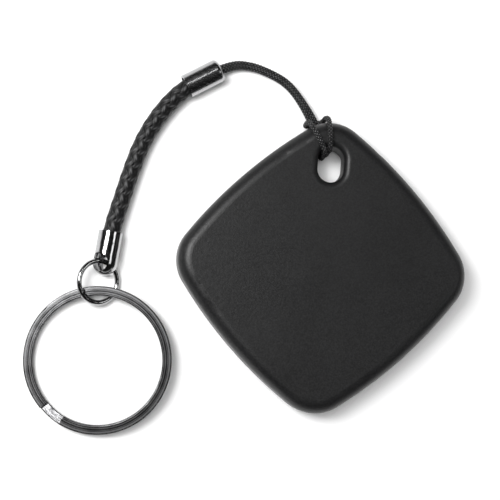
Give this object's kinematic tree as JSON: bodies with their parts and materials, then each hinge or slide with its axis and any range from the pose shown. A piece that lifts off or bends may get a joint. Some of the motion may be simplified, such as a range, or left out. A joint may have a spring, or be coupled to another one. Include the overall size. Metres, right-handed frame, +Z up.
{
  "type": "bluetooth tracker tag",
  "caption": "Thin rounded-square tracker tag with a corner slot, a hitched cord lanyard, crimped ends and a split key ring.",
  "frame": {"origin": "centre of the tag on its underside, which lies on the surface", "axes": "+Z up through the thickness, +Y from the centre to the corner with the lanyard slot"},
  "size_m": [0.074, 0.0655, 0.0084],
  "materials": {
    "case_plastic": "fine matte texture",
    "door_plastic": "fine matte texture",
    "seal_rubber": "soft matte",
    "board_laminate": "solder mask",
    "cell_steel": "satin",
    "contact_metal": "plated spring metal",
    "switch_plastic": "moulded",
    "chip_epoxy": "moulded epoxy",
    "can_metal": "satin",
    "antenna_ceramic": "fired ceramic",
    "capacitor_ceramic": "fired ceramic",
    "piezo_brass": "satin",
    "thin_cord": "fine braided nylon",
    "thick_cord": "glossy braided nylon",
    "bright_chrome": "polished",
    "ring_steel": "brushed along the ring"
  },
  "bodies": {
    "tag": {"front_cover": "case_plastic", "rear_cover": "case_plastic", "case_gasket": "seal_rubber", "circuit_board": "board_laminate", "coin_cell": "cell_steel", "negative_contact": "contact_metal", "positive_contact": "contact_metal", "switch_body": "switch_plastic", "switch_dome": "contact_metal", "radio_chip": "chip_epoxy", "crystal": "can_metal", "chip_antenna": "antenna_ceramic", "capacitors": "capacitor_ceramic", "resistors": "chip_epoxy", "piezo_disc": "piezo_brass", "piezo_ceramic": "antenna_ceramic", "cord_hitch": "thin_cord"},
    "door": {"battery_door": "door_plastic", "door_seal": "seal_rubber"},
    "plunger": {"switch_plunger": "switch_plastic"},
    "lanyard": {"loop_strands": "thin_cord", "crimp_sleeve": "bright_chrome", "braided_cord": "thick_cord", "end_crimp": "bright_chrome"},
    "small_ring": {"jump_ring": "bright_chrome"},
    "large_ring": {"split_ring": "ring_steel"}
  },
  "joints": [
    {"name": "door_turn", "type": "hinge", "parent": "tag", "child": "door", "pos_m": [0, -0.004, 0.0006], "axis": [0, 0, -1], "range_deg": [0, 30]},
    {"name": "switch_press", "type": "slide", "parent": "tag", "child": "plunger", "axis": [0, 0, -1], "range_m": [0, 0.0002], "stiffness_N_per_m": 800, "deforming": ["switch_dome"]},
    {"name": "lanyard_swing", "type": "hinge", "parent": "tag", "child": "lanyard", "pos_m": [-0.00389, 0.02686, 0.00154], "axis": [-0.5623, 0.8246, -0.0614], "range_deg": [0, 90]},
    {"name": "small_ring_swing", "type": "hinge", "parent": "lanyard", "child": "small_ring", "pos_m": [-0.03685, -0.00225, 0.00209], "axis": [-0.8663, 0.2782, 0.4149], "range_deg": [0, 40]},
    {"name": "large_ring_swing", "type": "hinge", "parent": "small_ring", "child": "large_ring", "pos_m": [-0.03833, -0.00716, 0.00213], "axis": [-0.9848, -0.1374, -0.1066], "range_deg": [0, 90]}
  ]
}
